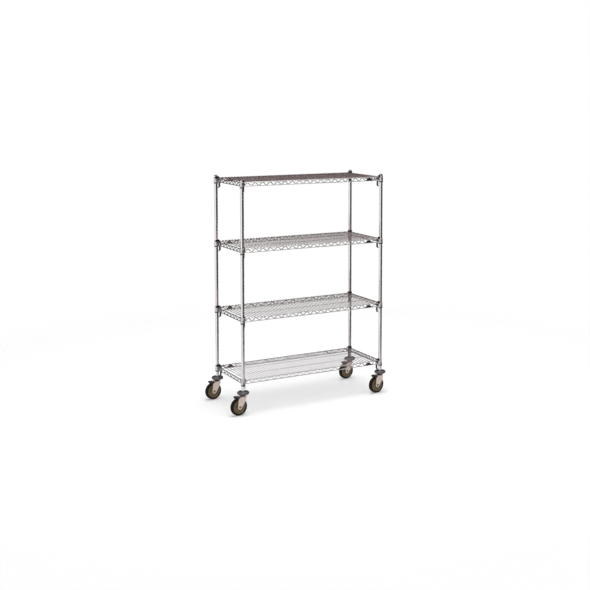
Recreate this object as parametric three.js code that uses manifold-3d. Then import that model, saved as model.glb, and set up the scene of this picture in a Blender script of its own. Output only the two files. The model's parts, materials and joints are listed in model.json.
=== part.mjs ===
// Mobile wire shelving rack: four grooved posts, four welded wire shelves with a release lever at
// every corner, and four swivel casters with donut bumpers and toe brakes.
// Millimetres, +Z up. Origin on the floor, under the centre of the whole rack's bounding box.
import * as THREE from 'three';
import { mergeVertices } from 'three/addons/utils/BufferGeometryUtils.js';
import Module from 'manifold-3d';

const wasm = await Module();
wasm.setup();

// Overall layout
const POST_SPAN_X = 1168.4;
const POST_SPAN_Y = 482.6;
const SHELVES = { top: 1666.8, upper: 1184.2, lower: 676.2, bottom: 219.0 };
const CORNERS = {
  front_left: [-1, -1],
  front_right: [1, -1],
  rear_left: [-1, 1],
  rear_right: [1, 1],
};

// Posts and caps
const POST_RADIUS = 12.7;
const POST_BORE_RADIUS = 11.3;
const POST_BOTTOM = 155.0;
const POST_TOP = 1716.0;
const CAP_TOP = 1724.0;
const CAP_RIM_RADIUS = 12.9;
const PLUG_RADIUS = 10.7;
const CAP_PLUG_DEPTH = 13.0;
const CAP_CHAMFER = 3.5;
const CAP_FLAT_RADIUS = 8.8;

// Shelves, measured up from the bottom of the collar
const COLLAR_HEIGHT = 38.0;
const COLLAR_RADIUS = 16.4;
const COLLAR_BORE_RADIUS = 13.2;
const RAIL_THICKNESS = 6.4;
const BOTTOM_RAIL_Z = 6.5;
const TOP_RAIL_Z = 32.0;
const TRUSS_WIRE = 4.0;
const LONG_TRUSS_STEPS = 38;
const SHORT_TRUSS_STEPS = 15;
const RAIL_END_SETBACK = 14.0;
const MAT_WIRE = 3.8;
const MAT_UNDERSIDE_Z = 35.0;
const MAT_PITCHES = 46;
const MID_ROD_RADIUS = 2.6;
const MID_ROD_Z = 32.0;
const MID_ROD_Y = 80.0;

// Corner housings, along the diagonal from the post towards the middle of the shelf
const HOUSING_INNER = 15.0;
const HOUSING_OUTER = 36.0;
const HOUSING_WIDTH = 20.0;
const HOUSING_HEIGHT = 34.6;
const WEDGE_OUTER = 25.0;
const WEDGE_WIDTH = 16.0;
const WEDGE_HEIGHT = 9.0;
const WEDGE_CHAMFER = 4.0;
const WEDGE_RING_RADIUS = 17.4;
const LEVER_SLOT_START = 20.0;
const LEVER_SLOT_WIDTH = 11.2;
const LEVER_SLOT_TOP = 22.0;
const LEVER_PIVOT_REACH = 28.0;
const LEVER_PIVOT_Z = 10.0;
const LEVER_PIN_RADIUS = 2.3;
const LEVER_PIN_INSET = 2.0;
const LEVER_WIDTH = 10.0;
const LEVER_EYE_RADIUS = 6.2;
const LEVER_BORE_RADIUS = 2.9;
const LEVER_ARM_HALF = 5.2;
const LEVER_DROP = 53.0;
const LEVER_HOOK = 7.0;
const LEVER_HOOK_START = 9.0;
const LEVER_HEEL_RISE = 6.0;
const LEVER_TIP_RISE = 3.0;
const LEVER_TIP_CUT = 2.5;

// Casters, measured up from the floor and back from the post's axis
const WHEEL_RADIUS = 63.5;
const WHEEL_WIDTH = 32.0;
const WHEEL_SIDES = 16;
const TRAIL = 38.0;
const TRAIL_ANGLE = THREE.MathUtils.degToRad(187);
const CORE_RADIUS = 50.2;
const TYRE_BORE_RADIUS = 51.6;
const LEG_INNER = 18.6;
const LEG_THICKNESS = 3.2;
const LEG_EYE_RADIUS = 17.0;
const FORK_BACK = 57.0;
const FORK_FRONT = -15.0;
const FORK_BACK_SHOULDER_Z = 127.0;
const FORK_FRONT_SHOULDER_Z = 126.0;
const FORK_BELLY = [-8, 104];
const FORK_WAIST = [50, 120];
const CROWN_BOTTOM = 132.5;
const CROWN_PLATE_TOP = 138.0;
const CROWN_TOP = 148.2;
const CROWN_RADIUS = 26.0;
const CROWN_CHAMFER = 5.0;
const CROWN_PLATE_BACK = 45.0;
const KINGPIN_RADIUS = 6.0;
const KINGPIN_CLEARANCE = 0.6;
const KINGPIN_HEAD_RADIUS = 9.0;
const KINGPIN_HEAD_HEIGHT = 4.0;
const FLANGE_BOTTOM = 148.6;
const FLANGE_TOP = 154.6;
const FLANGE_RADIUS = 20.0;
const STEM_TOP = 208.0;
const BUMPER_RADIUS = 45.0;
const BUMPER_TUBE = 11.5;
const BUMPER_Z = 160.5;
const BUMPER_WEB_RISE = 3.0;
const BUMPER_BOSS_RISE = 14.5;
const BUMPER_ARC_END = 125;
const BUMPER_ARC_STEP = 50;
const AXLE_RADIUS = 4.6;
const AXLE_HOLE_RADIUS = 5.2;
const BOLT_TAIL = 8.0;
const BOLT_HEAD_RADIUS = 8.0;
const BOLT_HEAD_HEIGHT = 5.5;
const BOLT_HEAD_CHAMFER = 1.5;
const NUT_RADIUS = 8.5;
const NUT_HEIGHT = 6.0;
const HUB_BOSS_HALF = 17.9;
const HUB_BOSS_RADIUS = 13.0;
const HUB_WEB_HALF = 9.0;
const HUB_WEB_RADIUS = 15.0;
const CORE_HALF = 13.5;
const TYRE_BEAD_HALF = 14.5;
const TREAD_SHOULDER_RADIUS = 60.0;
const TREAD_HALF = 12.0;
const PEDAL_PIVOT_BACK = 52.0;
const PEDAL_PIVOT_Z = 132.5;
const PEDAL_PIN_RADIUS = 2.1;
const PEDAL_BORE_RADIUS = 2.7;
const PEDAL_EYE_RADIUS = 5.0;
const PEDAL_WIDTH = 18.0;
// The pedal's shoe and foot plate, from under the pivot, round the tip and back to the eye
const PEDAL_BLADE = [[9, -5], [14, -6.5], [16, -3], [17, 8], [14.5, 9.5], [10, 4]];

// GAP parts touching pieces; OVERRUN is how far a cutting or joining shape runs past its neighbour.
const GAP = 0.4;
const OVERRUN = 1.0;
// Of an eye's radius: half of its flat, and how far below the pivot a lever's arm leaves it.
const EYE_FLAT_SHARE = 0.42;
const LEVER_NECK_SHARE = 0.8;
const ROUND = 12;
const SMALL_ROUND = 8;
const PIN_SIDES = 6;

// The rack is centred on its own bounding box: the trailing wheels stick out on one side only.
const WHEEL_BACK_REACH = (TRAIL + WHEEL_RADIUS) * Math.abs(Math.cos(TRAIL_ANGLE))
  + TREAD_HALF * Math.abs(Math.sin(TRAIL_ANGLE));
const BOX_SHIFT_X = (WHEEL_BACK_REACH - BUMPER_RADIUS) / 2;

// ---- materials -------------------------------------------------------------------------------

function finish(color, roughness, metalness) {
  return new THREE.MeshStandardMaterial({ color, roughness, metalness });
}

const chrome = () => finish(0xc9c5c2, 0.2, 1.0);
const chromeWire = () => finish(0xaaa3a1, 0.3, 1.0);
const zincSteel = () => finish(0xc8b9a4, 0.4, 0.9);
const greyPlastic = () => finish(0x8b8987, 0.5, 0.0);
const blackPlastic = () => finish(0x2a2829, 0.5, 0.0);
const bumperRubber = () => finish(0x4a444a, 0.75, 0.0);
const tyreRubber = () => finish(0x1f1817, 0.7, 0.0);
const corePlastic = () => finish(0x6f6640, 0.55, 0.0);
const bolt = () => finish(0x9d9a94, 0.35, 1.0);

// ---- solids ----------------------------------------------------------------------------------

// Shared vertices are merged and flat slivers dropped, so the surface is closed and faces out.
function closedSurface(geometry) {
  const bare = geometry.clone();
  bare.deleteAttribute('normal');
  bare.deleteAttribute('uv');
  const merged = mergeVertices(bare, 1e-3);
  const position = merged.getAttribute('position');
  const index = merged.getIndex().array;
  const corner = [new THREE.Vector3(), new THREE.Vector3(), new THREE.Vector3()];
  const kept = [];
  let volume = 0;
  for (let i = 0; i < index.length; i += 3) {
    const [a, b, c] = [index[i], index[i + 1], index[i + 2]];
    if (a === b || b === c || c === a) continue;
    corner[0].fromBufferAttribute(position, a);
    corner[1].fromBufferAttribute(position, b);
    corner[2].fromBufferAttribute(position, c);
    volume += corner[0].dot(corner[1].cross(corner[2]));
    kept.push(a, b, c);
  }
  if (volume < 0) kept.reverse();
  merged.setIndex(kept);
  return merged;
}

function toSolid(geometry) {
  const surface = closedSurface(geometry);
  const vertProperties = new Float32Array(surface.getAttribute('position').array);
  const triVerts = new Uint32Array(surface.getIndex().array);
  return new wasm.Manifold(new wasm.Mesh({ numProp: 3, vertProperties, triVerts }));
}

function toGeometry(solid) {
  const mesh = solid.asOriginal().getMesh();
  const geometry = new THREE.BufferGeometry();
  geometry.setAttribute('position', new THREE.BufferAttribute(new Float32Array(mesh.vertProperties), 3));
  geometry.setIndex(new THREE.BufferAttribute(new Uint32Array(mesh.triVerts), 1));
  return geometry;
}

const joined = (...geometries) => geometries.map(toSolid).reduce((all, one) => all.add(one));

// A profile of [radius, height] points turned round the Z axis.
function turned(profile, sides) {
  const points = profile.map(([r, z]) => new THREE.Vector2(r, z));
  const geometry = new THREE.LatheGeometry(points, sides);
  geometry.rotateX(Math.PI / 2);
  return geometry;
}

// A cylinder along Z between two heights.
function rod(radius, from, to, sides) {
  return turned([[0, from], [radius, from], [radius, to], [0, to]], sides);
}

// A ring along Z: its profile closes on itself.
function ring(inner, outer, from, to, sides) {
  return turned([[inner, from], [outer, from], [outer, to], [inner, to], [inner, from]], sides);
}

function block(from, to) {
  const size = to.map((value, i) => value - from[i]);
  const geometry = new THREE.BoxGeometry(...size);
  geometry.translate(...from.map((value, i) => value + size[i] / 2));
  return geometry;
}

// An outline in the X-Z plane with optional holes, given a thickness along Y and centred on y = 0.
function plate(outline, holes, thickness) {
  const shape = new THREE.Shape(outline.map(([x, z]) => new THREE.Vector2(x, z)));
  for (const hole of holes) {
    shape.holes.push(new THREE.Path(hole.map(([x, z]) => new THREE.Vector2(x, z))));
  }
  const geometry = new THREE.ExtrudeGeometry(shape, { depth: thickness, bevelEnabled: false });
  geometry.translate(0, 0, -thickness / 2);
  geometry.rotateX(Math.PI / 2);
  return geometry;
}

function polygon(radius, sides, centreX = 0, centreZ = 0) {
  return Array.from({ length: sides }, (_, i) => {
    const angle = (2 * Math.PI * (i + 0.5)) / sides;
    return [centreX + radius * Math.cos(angle), centreZ + radius * Math.sin(angle)];
  });
}

// A pin along Y.
function crossPin(radius, length, x, z) {
  return plate(polygon(radius, PIN_SIDES, x, z), [], length);
}

// ---- posts -----------------------------------------------------------------------------------

const postShape = () => ring(POST_BORE_RADIUS, POST_RADIUS, POST_BOTTOM, POST_TOP, ROUND);

function postCapShape() {
  const seat = POST_TOP + GAP;
  const shoulder = CAP_TOP - CAP_CHAMFER;
  return turned([
    [0, POST_TOP - CAP_PLUG_DEPTH],
    [PLUG_RADIUS, POST_TOP - CAP_PLUG_DEPTH],
    [PLUG_RADIUS, seat],
    [CAP_RIM_RADIUS, seat],
    [CAP_RIM_RADIUS, shoulder],
    [CAP_FLAT_RADIUS, CAP_TOP],
    [0, CAP_TOP],
  ], ROUND);
}

// ---- shelves ---------------------------------------------------------------------------------

// Two rails with a zigzag wire between them: what the wire leaves open is a row of triangles.
function trussPanel(span, steps) {
  const half = span / 2;
  const low = BOTTOM_RAIL_Z - RAIL_THICKNESS / 2;
  const high = TOP_RAIL_Z + RAIL_THICKNESS / 2;
  const holeLow = BOTTOM_RAIL_Z + RAIL_THICKNESS / 2;
  const holeHigh = TOP_RAIL_Z - RAIL_THICKNESS / 2;
  const step = span / steps;
  const openings = [];
  for (let i = 1; i < steps; i += 1) {
    const x = -half + i * step;
    const pointsUp = i % 2 === 1;
    const base = pointsUp ? holeLow : holeHigh;
    const apex = pointsUp ? holeHigh : holeLow;
    const triangle = [[x - step + TRUSS_WIRE, base], [x, apex], [x + step - TRUSS_WIRE, base]];
    openings.push(plate(triangle, [], 2 * RAIL_THICKNESS));
  }
  const panel = block([-half, -RAIL_THICKNESS / 2, low], [half, RAIL_THICKNESS / 2, high]);
  return toGeometry(toSolid(panel).subtract(joined(...openings)));
}

// The mat: wires from front to back at one pitch, held by a strip on each rail.
function matShape() {
  const halfX = POST_SPAN_X / 2 + MAT_WIRE;
  const halfY = POST_SPAN_Y / 2 + RAIL_THICKNESS / 2 - GAP;
  const slotHalfY = POST_SPAN_Y / 2 - RAIL_THICKNESS / 2 - GAP;
  const pitch = POST_SPAN_X / MAT_PITCHES;
  const top = MAT_UNDERSIDE_Z + MAT_WIRE;
  const slots = [];
  for (let i = 0; i < MAT_PITCHES; i += 1) {
    const left = -POST_SPAN_X / 2 + i * pitch + MAT_WIRE / 2;
    const right = left + pitch - MAT_WIRE;
    slots.push(block([left, -slotHalfY, MAT_UNDERSIDE_Z - OVERRUN], [right, slotHalfY, top + OVERRUN]));
  }
  const mat = block([-halfX, -halfY, MAT_UNDERSIDE_Z], [halfX, halfY, top]);
  return toGeometry(toSolid(mat).subtract(joined(...slots)));
}

function midRod(y) {
  const geometry = plate(polygon(MID_ROD_RADIUS, PIN_SIDES, y, MID_ROD_Z), [], POST_SPAN_X);
  geometry.rotateZ(Math.PI / 2);
  return geometry;
}

// The corner housing in its own frame: +X runs along the shelf's diagonal, away from the post.
// The wedge stands in it, with a half ring that hugs the post's inner side above the collar.
function cornerHousing() {
  const half = HOUSING_WIDTH / 2;
  const body = block([HOUSING_INNER, -half, 0], [HOUSING_OUTER, half, HOUSING_HEIGHT]);
  const wedgeTop = COLLAR_HEIGHT + WEDGE_HEIGHT;
  const wedge = plate([
    [HOUSING_INNER, HOUSING_HEIGHT - OVERRUN],
    [WEDGE_OUTER, HOUSING_HEIGHT - OVERRUN],
    [WEDGE_OUTER, wedgeTop - WEDGE_CHAMFER],
    [WEDGE_OUTER - WEDGE_CHAMFER, wedgeTop],
    [HOUSING_INNER, wedgeTop],
  ], [], WEDGE_WIDTH);
  const reach = WEDGE_RING_RADIUS + OVERRUN;
  const ring = toSolid(rod(WEDGE_RING_RADIUS, HOUSING_HEIGHT - OVERRUN, wedgeTop, ROUND));
  const halfRing = ring.subtract(toSolid(block([-reach, -reach, 0], [0, reach, wedgeTop + OVERRUN])));
  const slot = block([LEVER_SLOT_START, -LEVER_SLOT_WIDTH / 2, -OVERRUN],
    [HOUSING_OUTER + OVERRUN, LEVER_SLOT_WIDTH / 2, LEVER_SLOT_TOP]);
  const pinLength = HOUSING_WIDTH - 2 * LEVER_PIN_INSET;
  const pin = crossPin(LEVER_PIN_RADIUS, pinLength, LEVER_PIVOT_REACH, LEVER_PIVOT_Z);
  return joined(body, wedge).add(halfRing).subtract(toSolid(slot)).add(toSolid(pin));
}

// Degrees round Z, and position, that put a corner's own frame on one corner of the rack.
function cornerPlacement([sideX, sideY]) {
  return {
    angle: Math.atan2(-sideY, -sideX),
    x: (sideX * POST_SPAN_X) / 2,
    y: (sideY * POST_SPAN_Y) / 2,
  };
}

function placedAtCorner(geometry, corner) {
  const { angle, x, y } = cornerPlacement(corner);
  geometry.rotateZ(angle);
  geometry.translate(x, y, 0);
  return geometry;
}

function shelfShape() {
  const longSpan = POST_SPAN_X - 2 * RAIL_END_SETBACK;
  const shortSpan = POST_SPAN_Y - 2 * RAIL_END_SETBACK;
  let shelf = joined(matShape(), midRod(-MID_ROD_Y), midRod(MID_ROD_Y));
  for (const side of [-1, 1]) {
    const long = trussPanel(longSpan, LONG_TRUSS_STEPS);
    long.translate(0, (side * POST_SPAN_Y) / 2, 0);
    const short = trussPanel(shortSpan, SHORT_TRUSS_STEPS);
    short.rotateZ(Math.PI / 2);
    short.translate((side * POST_SPAN_X) / 2, 0, 0);
    shelf = shelf.add(toSolid(long)).add(toSolid(short));
  }
  const housing = toGeometry(cornerHousing());
  for (const corner of Object.values(CORNERS)) {
    const { x, y } = cornerPlacement(corner);
    const collar = rod(COLLAR_RADIUS, 0, COLLAR_HEIGHT, ROUND);
    const bore = rod(COLLAR_BORE_RADIUS, -OVERRUN, COLLAR_HEIGHT + WEDGE_HEIGHT + OVERRUN, ROUND);
    collar.translate(x, y, 0);
    bore.translate(x, y, 0);
    shelf = shelf.add(toSolid(collar)).add(toSolid(placedAtCorner(housing.clone(), corner)));
    shelf = shelf.subtract(toSolid(bore));
  }
  return toGeometry(shelf);
}

// The lever in its pivot's frame: it hangs down, and its tip hooks back towards the post.
function leverShape() {
  const eye = LEVER_EYE_RADIUS;
  const half = LEVER_ARM_HALF;
  const flat = eye * EYE_FLAT_SHARE;
  const outline = [
    [-half, -eye * LEVER_NECK_SHARE],
    [-half, -LEVER_DROP + LEVER_HOOK_START],
    [-half - LEVER_HOOK, -LEVER_DROP + LEVER_TIP_RISE],
    [-half - LEVER_HOOK + LEVER_TIP_CUT, -LEVER_DROP],
    [half, -LEVER_DROP + LEVER_HEEL_RISE],
    [half, -eye * LEVER_NECK_SHARE],
    [eye, 0],
    [flat, eye],
    [-flat, eye],
    [-eye, 0],
  ];
  return plate(outline, [polygon(LEVER_BORE_RADIUS, PIN_SIDES)], LEVER_WIDTH);
}

// ---- casters, in a frame whose +X runs from the post's axis towards the trailing wheel ----------

function stemShape() {
  const headTop = CROWN_BOTTOM - GAP;
  const headBottom = headTop - KINGPIN_HEAD_HEIGHT;
  return turned([
    [0, headBottom],
    [KINGPIN_HEAD_RADIUS, headBottom],
    [KINGPIN_HEAD_RADIUS, headTop],
    [KINGPIN_RADIUS, headTop],
    [KINGPIN_RADIUS, FLANGE_BOTTOM],
    [FLANGE_RADIUS, FLANGE_BOTTOM],
    [FLANGE_RADIUS, FLANGE_TOP],
    [PLUG_RADIUS, FLANGE_TOP],
    [PLUG_RADIUS, STEM_TOP],
    [0, STEM_TOP],
  ], SMALL_ROUND);
}

function bumperShape() {
  const tubeCentre = BUMPER_RADIUS / Math.cos(Math.PI / ROUND) - BUMPER_TUBE;
  const arc = [];
  for (let degrees = -BUMPER_ARC_END; degrees <= BUMPER_ARC_END; degrees += BUMPER_ARC_STEP) {
    const angle = THREE.MathUtils.degToRad(degrees);
    arc.push([tubeCentre + BUMPER_TUBE * Math.cos(angle), BUMPER_Z + BUMPER_TUBE * Math.sin(angle)]);
  }
  const bore = COLLAR_BORE_RADIUS + GAP;
  const webBottom = FLANGE_TOP + GAP;
  const webTop = BUMPER_Z + BUMPER_WEB_RISE;
  return turned([[bore, webBottom], [tubeCentre - BUMPER_TUBE, webBottom], ...arc,
    [tubeCentre - BUMPER_TUBE, webTop], [bore, BUMPER_Z + BUMPER_BOSS_RISE], [bore, webBottom]], ROUND);
}

function forkShape() {
  const legOuter = LEG_INNER + LEG_THICKNESS;
  const eye = polygon(LEG_EYE_RADIUS, ROUND, TRAIL, WHEEL_RADIUS).filter(([, z]) => z < WHEEL_RADIUS);
  const legOutline = [
    ...eye,
    FORK_WAIST,
    [FORK_BACK, FORK_BACK_SHOULDER_Z],
    [FORK_BACK, CROWN_PLATE_TOP],
    [FORK_FRONT, CROWN_PLATE_TOP],
    [FORK_FRONT, FORK_FRONT_SHOULDER_Z],
    FORK_BELLY,
  ];
  const axleHole = polygon(AXLE_HOLE_RADIUS, SMALL_ROUND, TRAIL, WHEEL_RADIUS);
  const legs = [-1, 1].map((side) => {
    const leg = plate(legOutline, [axleHole], LEG_THICKNESS);
    leg.translate(0, side * (LEG_INNER + LEG_THICKNESS / 2), 0);
    return leg;
  });
  const crownPlate = block([FORK_FRONT, -legOuter, CROWN_BOTTOM],
    [CROWN_PLATE_BACK, legOuter, CROWN_PLATE_TOP]);
  const raceway = turned([
    [0, CROWN_PLATE_TOP - OVERRUN],
    [CROWN_RADIUS - CROWN_CHAMFER, CROWN_PLATE_TOP - OVERRUN],
    [CROWN_RADIUS, CROWN_TOP - CROWN_CHAMFER],
    [CROWN_RADIUS, CROWN_TOP],
    [0, CROWN_TOP],
  ], ROUND);
  const boreRadius = KINGPIN_RADIUS + KINGPIN_CLEARANCE;
  const bore = rod(boreRadius, CROWN_BOTTOM - OVERRUN, CROWN_TOP + OVERRUN, SMALL_ROUND);
  const pin = crossPin(PEDAL_PIN_RADIUS, 2 * LEG_INNER + OVERRUN, PEDAL_PIVOT_BACK, PEDAL_PIVOT_Z);
  const fork = joined(...legs, crownPlate, raceway, pin).subtract(toSolid(bore));
  return toGeometry(fork);
}

function axleBoltShape() {
  const headFace = LEG_INNER + LEG_THICKNESS + GAP;
  const headTop = headFace + BOLT_HEAD_HEIGHT;
  const bolt = turned([
    [0, -headFace - BOLT_TAIL],
    [AXLE_RADIUS, -headFace - BOLT_TAIL],
    [AXLE_RADIUS, headFace],
    [BOLT_HEAD_RADIUS, headFace],
    [BOLT_HEAD_RADIUS, headTop - BOLT_HEAD_CHAMFER],
    [BOLT_HEAD_RADIUS - BOLT_HEAD_CHAMFER, headTop],
    [0, headTop],
  ], PIN_SIDES);
  bolt.rotateX(Math.PI / 2);
  bolt.translate(TRAIL, 0, WHEEL_RADIUS);
  return bolt;
}

function axleNutShape() {
  const face = LEG_INNER + LEG_THICKNESS + GAP;
  const nut = plate(polygon(NUT_RADIUS, PIN_SIDES), [polygon(AXLE_HOLE_RADIUS, SMALL_ROUND)], NUT_HEIGHT);
  nut.translate(TRAIL, face + NUT_HEIGHT / 2, WHEEL_RADIUS);
  return nut;
}

function wheelTurned(profile, sides) {
  const half = profile.map(([r, y]) => [r, -y]);
  const mirrored = profile.slice().reverse();
  const wheel = turned([...half, ...mirrored, half[0]], sides);
  wheel.rotateZ(Math.PI / sides);
  wheel.rotateX(Math.PI / 2);
  wheel.translate(TRAIL, 0, WHEEL_RADIUS);
  return wheel;
}

function wheelHubShape() {
  return wheelTurned([
    [AXLE_HOLE_RADIUS, HUB_BOSS_HALF],
    [HUB_BOSS_RADIUS, HUB_BOSS_HALF],
    [HUB_WEB_RADIUS, HUB_WEB_HALF],
    [CORE_RADIUS, CORE_HALF],
  ], ROUND);
}

function tyreShape() {
  const corner = 1 / Math.cos(Math.PI / WHEEL_SIDES);
  return wheelTurned([
    [TYRE_BORE_RADIUS, TYRE_BEAD_HALF],
    [TREAD_SHOULDER_RADIUS * corner, WHEEL_WIDTH / 2],
    [WHEEL_RADIUS * corner, TREAD_HALF],
  ], WHEEL_SIDES);
}

function brakePedalShape() {
  const eye = PEDAL_EYE_RADIUS;
  const flat = eye * EYE_FLAT_SHARE;
  const outline = [[-eye, -flat], [-flat, -eye], [flat, -eye], ...PEDAL_BLADE, [flat, eye], [-flat, eye],
    [-eye, flat]];
  const pedal = plate(outline, [polygon(PEDAL_BORE_RADIUS, PIN_SIDES)], PEDAL_WIDTH);
  pedal.translate(PEDAL_PIVOT_BACK, 0, PEDAL_PIVOT_Z);
  return pedal;
}

// ---- assembly --------------------------------------------------------------------------------

function piece(name, geometry, material) {
  const mesh = new THREE.Mesh(geometry, material);
  mesh.name = name;
  return mesh;
}

const rack = new THREE.Group();
rack.position.x = BOX_SHIFT_X;

const shelfGeometry = closedSurface(shelfShape());
for (const [level, height] of Object.entries(SHELVES)) {
  const shelf = piece(`shelf_${level}`, shelfGeometry, chromeWire());
  shelf.position.z = height;
  rack.add(shelf);
}

const leverGeometry = closedSurface(leverShape());
for (const [level, height] of Object.entries(SHELVES)) {
  for (const [place, corner] of Object.entries(CORNERS)) {
    const { angle, x, y } = cornerPlacement(corner);
    const lever = piece(`release_lever_${level}_${place}`, leverGeometry, blackPlastic());
    lever.position.set(x + LEVER_PIVOT_REACH * Math.cos(angle), y + LEVER_PIVOT_REACH * Math.sin(angle),
      height + LEVER_PIVOT_Z);
    lever.rotation.z = angle;
    rack.add(lever);
  }
}

const uprightPieces = [
  ['post', closedSurface(postShape()), chrome],
  ['post_cap', closedSurface(postCapShape()), greyPlastic],
];
const casterPieces = [
  ['caster_stem', closedSurface(stemShape()), zincSteel],
  ['caster_bumper', closedSurface(bumperShape()), bumperRubber],
  ['caster_fork', closedSurface(forkShape()), zincSteel],
  ['axle_bolt', closedSurface(axleBoltShape()), bolt],
  ['axle_nut', closedSurface(axleNutShape()), bolt],
  ['wheel_hub', closedSurface(wheelHubShape()), corePlastic],
  ['tyre', closedSurface(tyreShape()), tyreRubber],
  ['brake_pedal', closedSurface(brakePedalShape()), blackPlastic],
];
for (const [place, corner] of Object.entries(CORNERS)) {
  const { x, y } = cornerPlacement(corner);
  const upright = new THREE.Group();
  upright.position.set(x, y, 0);
  const caster = new THREE.Group();
  caster.rotation.z = TRAIL_ANGLE;
  for (const [name, geometry, material] of uprightPieces) {
    upright.add(piece(`${name}_${place}`, geometry, material()));
  }
  for (const [name, geometry, material] of casterPieces) {
    caster.add(piece(`${name}_${place}`, geometry, material()));
  }
  upright.add(caster);
  rack.add(upright);
}

export default rack;
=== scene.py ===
import json
import math
import random

import bmesh
import bpy
from mathutils import Matrix, Vector


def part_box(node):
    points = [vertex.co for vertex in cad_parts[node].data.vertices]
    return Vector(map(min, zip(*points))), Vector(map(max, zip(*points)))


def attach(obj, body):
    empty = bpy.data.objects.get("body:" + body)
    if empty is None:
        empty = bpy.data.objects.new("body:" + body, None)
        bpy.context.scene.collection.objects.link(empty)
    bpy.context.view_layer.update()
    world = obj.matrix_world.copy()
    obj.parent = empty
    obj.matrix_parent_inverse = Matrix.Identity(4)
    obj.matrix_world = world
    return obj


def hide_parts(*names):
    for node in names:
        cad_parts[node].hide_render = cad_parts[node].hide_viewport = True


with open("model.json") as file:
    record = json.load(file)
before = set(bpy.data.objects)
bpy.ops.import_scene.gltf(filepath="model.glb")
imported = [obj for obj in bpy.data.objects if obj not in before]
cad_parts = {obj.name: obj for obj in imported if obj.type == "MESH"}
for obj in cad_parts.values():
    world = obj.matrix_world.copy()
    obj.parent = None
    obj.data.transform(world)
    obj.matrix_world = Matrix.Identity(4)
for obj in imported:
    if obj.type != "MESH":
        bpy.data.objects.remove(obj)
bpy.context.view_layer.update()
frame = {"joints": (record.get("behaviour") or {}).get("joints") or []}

scene = bpy.context.scene

# ---- driving dimensions, in millimetres ----------------------------------------------------------

MM = 0.001
LEVELS = ("top", "upper", "lower", "bottom")
CORNERS = ("front_left", "front_right", "rear_left", "rear_right")

POST_RADIUS = 12.7
POST_BORE = 11.3
GROOVE_PITCH = 25.4
GROOVE_DEPTH = 0.18
GROOVE_HALF = 0.7
GUIDE_GROOVE_EVERY = 8

COLLAR_HEIGHT = 38.0
COLLAR_RADIUS = 16.0
COLLAR_BORE = 14.9
SLEEVE_BORE = 12.9
SLEEVE_DROP = 8.0

RAIL_RADIUS = 3.2
BOTTOM_RAIL_Z = 6.5
TOP_RAIL_Z = 32.0
RAIL_SETBACK = 15.6
ZIGZAG_RADIUS = 2.5
ZIGZAG_BEND = 6.0
LONG_STEPS = 38
SHORT_STEPS = 15
MAT_RADIUS = 2.5
MAT_PITCHES = 46
MAT_TOP = 38.8
MAT_Z = MAT_TOP - MAT_RADIUS
MID_ROD_RADIUS = 1.8
MID_ROD_Z = MAT_Z - MAT_RADIUS - MID_ROD_RADIUS + 0.8
MID_ROD_Y = 80.0
BADGE_STEP = 3

LEVER_REACH = 28.0
LEVER_PIVOT_Z = 10.0
LEVER_WIDTH = 10.0
LEVER_DROP = 52.0
LEVER_HALF_DEPTH = 6.2

WHEEL_RADIUS = 63.5
WHEEL_HALF = 16.0
TRAIL = 38.0
CORE_RADIUS = 50.4
LEG_INNER = 18.6
LEG_OUTER = 21.8
LEG_EYE = 17.0
CROWN_LOW = 132.5
CROWN_HIGH = 138.0
BUMPER_Z = 160.5
BUMPER_RADIUS = 44.8
BUMPER_TUBE = 11.5
PEDAL_BACK = 52.0
PEDAL_Z = 132.5

# ---- where things are, from the frame -------------------------------------------------------------

joint_at = {joint["name"]: Vector(joint["pos_m"]) for joint in frame["joints"]}


def middle(node):
    low, high = (Vector(corner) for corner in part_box(node))
    return (low + high) / 2


def lowest(node):
    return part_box(node)[0][2]


post_xy = {corner: middle(f"post_{corner}").xy for corner in CORNERS}
rack_centre = sum((post_xy[corner] for corner in CORNERS), Vector((0, 0))) / len(CORNERS)
span_x = (post_xy["front_right"].x - post_xy["front_left"].x) / MM
span_y = (post_xy["rear_left"].y - post_xy["front_left"].y) / MM
post_bottom = lowest("post_front_left") / MM
post_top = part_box("post_front_left")[1][2] / MM
shelf_z = {level: lowest(f"shelf_{level}") for level in LEVELS}


def frame_matrix(origin, x_axis):
    """A placement whose X runs along x_axis on the level, and whose Z is up."""
    x = Vector((x_axis[0], x_axis[1], 0)).normalized()
    z = Vector((0, 0, 1))
    y = z.cross(x)
    turn = Matrix((x, y, z)).transposed().to_4x4()
    return Matrix.Translation(Vector(origin)) @ turn


def corner_matrix(corner, height):
    """X runs from the post along the shelf's diagonal, towards the middle of the shelf."""
    inward = rack_centre - post_xy[corner]
    diagonal = (math.copysign(1, inward.x), math.copysign(1, inward.y))
    return frame_matrix((*post_xy[corner], height), diagonal)


def caster_matrix(corner):
    """X runs from the post's axis to the trailing wheel; the origin is on the floor under the post."""
    back = joint_at[f"wheel_{corner}_spin"] - joint_at[f"caster_{corner}_swivel"]
    return frame_matrix((*post_xy[corner], 0), back.xy)


# ---- mesh building --------------------------------------------------------------------------------


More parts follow.
